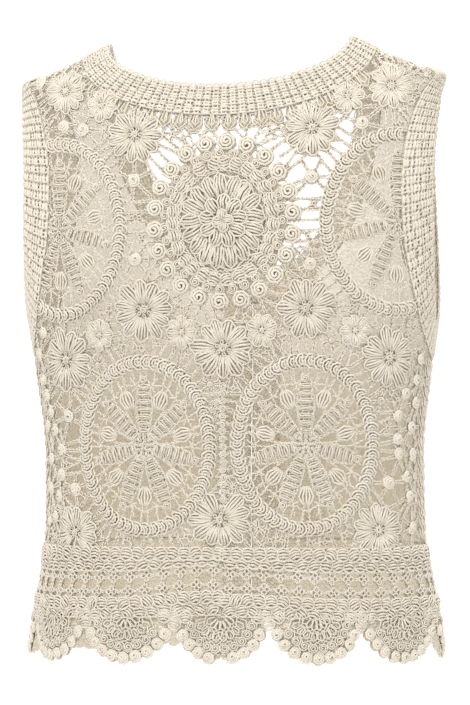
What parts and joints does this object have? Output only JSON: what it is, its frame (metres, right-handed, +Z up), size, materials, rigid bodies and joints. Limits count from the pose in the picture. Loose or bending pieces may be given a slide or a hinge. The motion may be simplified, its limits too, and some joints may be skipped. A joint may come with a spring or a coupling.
{
  "type": "cardigan",
  "caption": "Sleeveless openwork crochet cardigan with ribbed neck and armhole bands and a scalloped hem, hollow as worn.",
  "frame": {"origin": "midway between the neck ends of the two shoulder seams, where the garment rests on its wearer", "axes": "+Z up, +X to the wearer's left; the fronts face -Y and the patterned back faces +Y"},
  "size_m": [0.34, 0.2181, 0.4988],
  "materials": {
    "ecru_cotton": "matte crochet cotton",
    "label_tape": "plain woven tape"
  },
  "bodies": {
    "root": {"back_left": "ecru_cotton", "back_right": "ecru_cotton", "border_back_left": "ecru_cotton", "border_back_right": "ecru_cotton", "front_left": "ecru_cotton", "front_right": "ecru_cotton", "border_front_left": "ecru_cotton", "border_front_right": "ecru_cotton", "front_band_left": "ecru_cotton", "front_band_right": "ecru_cotton", "armband_left": "ecru_cotton", "armband_right": "ecru_cotton", "neckband": "ecru_cotton", "neck_label": "label_tape"}
  },
  "joints": []
}
